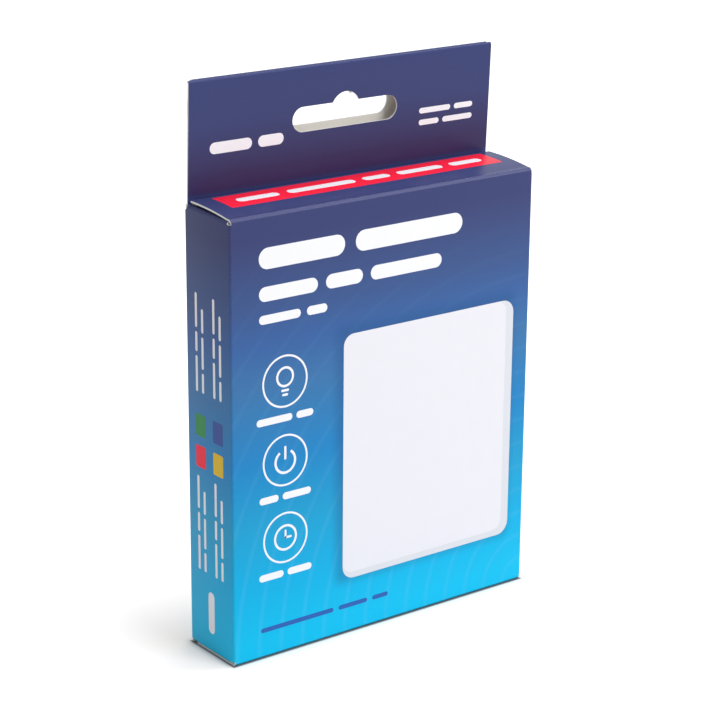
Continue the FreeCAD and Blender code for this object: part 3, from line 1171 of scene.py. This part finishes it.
@dataclass
class PrintPatch:
    """One colour of print on one panel: its marks, as a film of ink on the board."""

    name: str
    panel: Panel
    colour: Colour
    marks: Sequence[Bar | Ring]
    body: str = "carton"
    film: float = 0.012 * MM
    layer: int = 1
    strip: float = 0.5 * MM

    def build(self, sizes: CartonSizes) -> Piece:
        """Model the marks and lay them on their panel.

        Args:
            sizes: the carton's sizes.

        Returns:
            The patch, in place.
        """
        patch, *others = [mark.draw() for mark in self.marks]
        if others:
            activate(patch)
            for piece in others:
                piece.select_set(True)
            bpy.ops.object.join()
        patch.name = self.name
        patch.data.transform(self._placement(sizes))
        if self.panel is Panel.LID:
            self._follow_bow(patch, sizes)
        patch.data.materials.append(Ink(self.colour).build())
        apply_modifier(patch, "SOLIDIFY", thickness=self.film * self.layer, offset=1.0)
        return patch

    def _placement(self, sizes: CartonSizes) -> Matrix:
        """Turn the drawing's plane onto the panel.

        Args:
            sizes: the carton's sizes.

        Returns:
            The matrix from the drawing to the carton.
        """
        left, right, level = -sizes.half_width, sizes.half_width, sizes.lid_level
        lean = Vector((0, -sizes.tab_lean, sizes.tab_top - sizes.tab_fold - level)).normalized()
        corner, *directions = {
            Panel.FRONT: ((left, sizes.front, 0), (1, 0, 0), (0, 0, 1)),
            Panel.LEFT: ((left, sizes.back, 0), (0, -1, 0), (0, 0, 1)),
            Panel.RIGHT: ((right, sizes.front, 0), (0, 1, 0), (0, 0, 1)),
            Panel.BACK: ((right, sizes.back, 0), (-1, 0, 0), (0, 0, 1)),
            Panel.TAB: ((left, sizes.tab_front, level), (1, 0, 0), lean),
            Panel.LID: ((left, sizes.front, level), (1, 0, 0), (0, 1, 0)),
        }[self.panel]
        across, up = (Vector(direction) for direction in directions)
        turn = Matrix((across, up, across.cross(up))).transposed().to_4x4()
        return Matrix.Translation(corner) @ turn

    def _follow_bow(self, patch: Piece, sizes: CartonSizes) -> None:
        """Slice the marks into strips and lift them onto the bowed lid.

        Args:
            patch: the marks on the lid's level.
            sizes: the carton's sizes.
        """
        depths = [vertex.co.y for vertex in patch.data.vertices]
        first = min(depths)
        with editing(patch, "FACE"):
            for cut in range(1, int((max(depths) - first) / self.strip) + 1):
                bpy.ops.mesh.select_all(action="SELECT")
                bpy.ops.mesh.bisect(plane_co=(0, first + cut * self.strip, 0), plane_no=(0, 1, 0))
        for vertex in patch.data.vertices:
            vertex.co.z += sizes.lid_height(vertex.co.y)


# The pictured plate's face on the front panel
PLATE = Bar(across=58.6, up=47.4, length=51.6, height=62.4, corner=3.0)


# A row of bars: its start and its middle on the panel, the bars' thickness and lengths, and the gap
Row = tuple[float, float, float, Sequence[float], float]


def word_rows(*rows: Row, upright: bool = False) -> list[Bar]:
    """Rows of round-ended bars, as long as words.

    Args:
        rows: the rows.
        upright: whether they run from the bottom up, not from left to right.

    Returns:
        The bars.
    """
    bars = []
    for start, middle, thickness, lengths, gap in rows:
        for length in lengths:
            along = start + length / 2
            flat = Bar(along, middle, length, thickness)
            bars.append(Bar(middle, along, thickness, length) if upright else flat)
            start += length + gap
    return bars


def badge_marks(across: float, middles: Sequence[float]) -> list[Bar | Ring]:
    """Three round badges in a column: a lamp, an on sign and a clock.

    Args:
        across: the column's middle on the panel.
        middles: the badges' middles, from the top down.

    Returns:
        The badges' marks.
    """
    lamp, power, clock = middles
    return [
        *(Ring(across, up, 6.6, 0.5) for up in middles),
        Ring(across, lamp + 1.1, 2.6, 0.6),
        Bar(across, lamp - 2.3, 2.3, 0.6),
        Bar(across, lamp - 3.4, 1.7, 0.6),
        Ring(across, power - 0.3, 3.2, 0.65, gap=70),
        Bar(across, power + 1.9, 0.65, 3.5),
        Ring(across, clock, 3.4, 0.6),
        Bar(across, clock + 0.9, 0.55, 2.3),
        Bar(across + 0.8, clock, 2.1, 0.55),
    ]


def front_print() -> list[PrintPatch]:
    """The front panel's print: heading bars, a switch plate and a column of badges.

    Returns:
        The patches.
    """
    heading = word_rows(
        (8.0, 101.4, 5.2, (25.0, 33.0), 3.2),
        (8.0, 92.8, 3.6, (17.0, 11.0, 22.0), 2.4),
        (8.0, 86.6, 2.2, (12.0, 6.0), 1.8),
    )
    column, levels, drop, gap = 15.4, (70.4, 50.4, 30.4), 9.2, 1.2
    captions = []
    for level, lengths in zip(levels, ((10.4, 5.0), (5.6, 8.4), (7.2, 7.2))):
        captions += word_rows((column - (sum(lengths) + gap) / 2, level - drop, 1.8, lengths, gap))
    foot = word_rows((8.0, 7.4, 1.2, (22.0, 9.0, 5.0), 1.6))
    edge = Bar(59.8, 46.6, 54.0, 64.0, 3.5)
    return [
        PrintPatch("front_heading", Panel.FRONT, Colour.WHITE, heading),
        PrintPatch("front_badges", Panel.FRONT, Colour.WHITE, badge_marks(column, levels)),
        PrintPatch("front_captions", Panel.FRONT, Colour.WHITE, captions),
        PrintPatch("plate_edge", Panel.FRONT, Colour.PLATE_SHADE, [edge]),
        PrintPatch("plate_face", Panel.FRONT, Colour.PLATE, [PLATE], layer=2),
        PrintPatch("front_foot_line", Panel.FRONT, Colour.INK_BLUE, foot),
    ]


def top_print() -> list[PrintPatch]:
    """The print on the hang tab, fine rows at its ends, and on the top lid, a red stripe with one row.

    Returns:
        The patches.
    """
    tab = word_rows(
        (6.4, 12.6, 2.8, (12.0, 7.4), 1.8),
        (69.0, 14.2, 1.4, (10.0, 6.0), 1.2),
        (69.0, 11.2, 1.4, (6.4, 9.6), 1.2),
    )
    row = word_rows((9.6, 11.2, 2.6, (12.0, 20.0, 8.0, 14.0, 10.0), 2.6))
    return [
        PrintPatch("tab_marks", Panel.TAB, Colour.WHITE, tab),
        PrintPatch("lid_stripe", Panel.LID, Colour.RED, [Bar(46.7, 11.4, 82.2, 8.8, 0.0)], "top_lid"),
        PrintPatch("lid_marks", Panel.LID, Colour.WHITE, row, "top_lid", layer=2),
    ]


def side_print() -> list[PrintPatch]:
    """The left panel's print, columns of fine bars and four blocks of colour, and the right one's columns.

    Returns:
        The patches.
    """
    left = [(5.4, 9.4, 2.6, (11.0,), 0)]
    for start in (21.0, 67.0):
        for middle in (4.4, 11.8):
            left.append((start, middle, 0.9, (9.0, 5.0, 8.6), 1.0))
            left.append((start, middle + 2.6, 0.9, (5.0, 8.0, 6.0), 1.0))
    blocks = {
        Colour.RED: (5.7, 50.6),
        Colour.YELLOW: (13.1, 50.6),
        Colour.GREEN: (5.7, 58.6),
        Colour.SIGNAL_BLUE: (13.1, 58.6),
    }
    columns = ((4.6, (8, 12, 6)), (9.0, (11, 6, 9)), (13.4, (5, 9, 7)))
    right = [(start, middle, 0.9, lengths, 1.2) for start in (16.0, 62.0) for middle, lengths in columns]
    patches = [PrintPatch("side_columns", Panel.LEFT, Colour.WHITE, word_rows(*left, upright=True))]
    for colour, place in blocks.items():
        bar = Bar(*place, length=4.2, height=5.6, corner=0.5)
        patches.append(PrintPatch(f"side_block_{colour.name.lower()}", Panel.LEFT, colour, [bar]))
    return [*patches, PrintPatch("right_columns", Panel.RIGHT, Colour.WHITE, word_rows(*right, upright=True))]


def back_print() -> list[PrintPatch]:
    """The back panel's print: a heading, a paragraph and a white field with two columns of lines.

    Returns:
        The patches.
    """
    paragraph = ((14, 9, 17, 11, 13), (10, 18, 8, 15, 12), (16, 12, 20, 9), (11, 15, 7))
    words = [(10.0, 101.0, 3.4, (22.0, 14.0, 18.0), 2.4)]
    pitch = 4.4
    words += [(10.0, 92.0 - pitch * row, 1.3, lengths, 1.6) for row, lengths in enumerate(paragraph)]
    column = ((9, 12, 5), (14, 7, 4), (6, 8, 10), (11, 15), (8, 5, 9), (13, 6, 5), (7, 12), (10, 4, 9))
    lines, pitch = [], 4.6
    for start in (15.0, 49.0):
        lines += [(start, 56.0 - pitch * row, 1.1, lengths, 1.2) for row, lengths in enumerate(column)]
    return [
        PrintPatch("back_words", Panel.BACK, Colour.WHITE, word_rows(*words)),
        PrintPatch("back_field", Panel.BACK, Colour.WHITE, [Bar(46.0, 40.0, 74.0, 46.0, 2.0)]),
        PrintPatch("back_lines", Panel.BACK, Colour.INK_BLUE, word_rows(*lines), layer=2),
    ]


# Studio


@dataclass(frozen=True)
class Camera:
    """The photograph's viewpoint: place in metres, angles in degrees, focal length in millimetres."""

    place: Triple = (-0.3264, -0.4259, 0.2409)
    yaw: float = 37.38
    down: float = 17.92
    roll: float = 0.46
    lens: float = 113.3
    sensor: float = 36.0
    nearest: float = 10 * MM

    def build(self) -> None:
        """Add the camera and make it the scene's."""
        yaw, down, roll = (math.radians(angle) for angle in (self.yaw, self.down, self.roll))
        turns = ((-yaw, "Z"), (math.pi / 2 - down, "X"), (roll, "Z"))
        data = bpy.data.cameras.new("camera")
        data.lens = self.lens
        data.sensor_width = self.sensor
        data.clip_start = self.nearest
        camera = bpy.data.objects.new("camera", data)
        place = Matrix.Translation(self.place)
        for angle, axis in turns:
            place = place @ Matrix.Rotation(angle, 4, axis)
        camera.matrix_world = place
        bpy.context.scene.collection.objects.link(camera)
        bpy.context.scene.camera = camera


@dataclass(frozen=True)
class SoftBox:
    """A square soft light: where it stands, what it faces, its side and its power in watts."""

    name: str
    place: Triple
    aim: Triple
    side: float
    power: float

    def build(self) -> None:
        """Add the light."""
        data = bpy.data.lights.new(self.name, "AREA")
        data.size = self.side
        data.energy = self.power
        light = bpy.data.objects.new(self.name, data)
        toward = Vector(self.aim) - Vector(self.place)
        light.location = self.place
        light.rotation_euler = toward.to_track_quat("-Z", "Y").to_euler()
        bpy.context.scene.collection.objects.link(light)


# Distances from the carton's foot, each with a linear colour
FloorStops = tuple[tuple[float, Triple], ...]


@dataclass(frozen=True)
class Studio:
    """A white sweep under soft light, dark where the carton touches it: a contact shadow painted into its
    matt colour, and a glow for seen rays that fades towards the foot.
    """

    floor_side: float = 8.0
    fill: float = 0.35
    foot: Triple = (46 * MM, 9.5 * MM, MM)
    # Matt colour: white, with a dark line at the carton's foot painted as contact shadow
    white: FloorStops = ((0.0, (0.2, 0.2, 0.2)), (0.5 * MM, (0.89, 0.89, 0.89)))
    # Glow for seen rays: faint at the carton's foot and stronger away from it, so the floor is painted darker
    # near the carton and the shadow farther off is washed out; the warm tint near the foot greys the blue
    # bounce in that shade
    glow: FloorStops = (
        (0.0, (0.02, 0.02, 0.02)),
        (2 * MM, (0.27, 0.22, 0.18)),
        (15 * MM, (0.36, 0.33, 0.31)),
        (60 * MM, (0.6, 0.6, 0.6)),
    )
    lights: tuple[SoftBox, ...] = (
        SoftBox("front", (0.3, -0.9, 0.75), (0, 0, 0.06), 0.6, 6.0),
        SoftBox("top", (0.2, 0.0, 1.25), (0, 0, 0.06), 0.8, 6.8),
        SoftBox("edge", (0.8, -0.3, 1.1), (0, 0, 0.1), 0.42, 3.5),
    )

    def build(self) -> None:
        """Add the floor, the surroundings, the lights and the camera."""
        self._floor()
        self._surroundings()
        for light in self.lights:
            light.build()
        Camera().build()
        bpy.context.scene.view_settings.view_transform = "Standard"

    def _seen(self, add: Adder) -> Socket | Node:
        """Tell the rays that show the background from those that light the object.

        Args:
            add: adds a node.

        Returns:
            One for rays that show it and zero for the others.
        """
        path = add("LightPath")
        shown = path.outputs["Is Camera Ray"]
        for other in ("Is Glossy Ray", "Is Transmission Ray"):
            shown = add("Math", {0: shown, 1: path.outputs[other]}, operation="MAXIMUM")
        return shown

    def _floor(self) -> None:
        """Lay a white floor that keeps the carton's shadow, with a contact shadow painted into its matt
        colour and a glow for seen rays that fades towards the foot, so the floor is painted darker near the
        carton and its shadow is washed out farther off.
        """
        floor = new_plane("floor", self.floor_side, self.floor_side)
        material, add, place = start_material("white_sweep")
        farthest = self.glow[-1][0]
        reach = distance_past(add, past_box(add, place, (0.0, 0.0, 0.0), self.foot))
        share = add("MapRange", {"Value": reach, "From Max": farthest})
        white, shine = (add("ValToRGB", {"Fac": share}) for _ in range(2))
        for ramp, stops in ((white, self.white), (shine, self.glow)):
            fill_ramp(ramp, [(distance / farthest, (*colour, 1.0)) for distance, colour in stops])
        matt = add("BsdfDiffuse", {"Color": white})
        glow = add("Emission", {"Color": shine, "Strength": 1.0})
        both = add("AddShader", {0: matt, 1: glow})
        mix = add("MixShader", {0: self._seen(add), 1: matt, 2: both})
        add("OutputMaterial", {"Surface": mix})
        floor.data.materials.append(material)

    def _surroundings(self) -> None:
        """Surround the carton with white that lights it at a plain level."""
        world = bpy.data.worlds.new("white_room")
        add = empty_tree(world)
        light = add("Background", {"Color": WHITE_LIGHT, "Strength": self.fill})
        shown = add("Background", {"Color": WHITE_LIGHT, "Strength": 1.0})
        mix = add("MixShader", {0: self._seen(add), 1: light, 2: shown})
        add("OutputWorld", {"Surface": mix})
        bpy.context.scene.world = world


def main() -> None:
    """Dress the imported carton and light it."""
    logging.basicConfig(level=logging.INFO, format="%(message)s")
    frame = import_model()
    sizes = CartonSizes.from_frame(frame)
    finish = BoardFinish(
        outside=GradientPrint(sizes).build(),
        inside=BareBoard("uncoated_board_back", Colour.BOARD_BACK, Colour.BOARD_FIBRE).build(),
        edge=BareBoard("cut_board_edge", Colour.BOARD_EDGE, Colour.BOARD_BACK).build(),
    )
    board = [
        (CartonSheet(sizes, finish).build(), "carton", "carton_body"),
        (GlueFlap(sizes, finish).build(), "carton", None),
        (Lid("top_lid_board", sizes, finish, lower=False).build(), "top_lid", "top_lid"),
        (Lid("bottom_lid_board", sizes, finish, lower=True).build(), "bottom_lid", "bottom_lid"),
    ]
    for piece, body, node in board:
        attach(piece, body)
        if node:
            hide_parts(node)
        LOG.info("%s rides on %s", piece.name, body)
    for patch in [*front_print(), *top_print(), *side_print(), *back_print()]:
        piece = patch.build(sizes)
        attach(piece, patch.body)
        LOG.info("%s rides on %s", piece.name, patch.body)
    Studio().build()


if __name__ == "__main__":
    main()
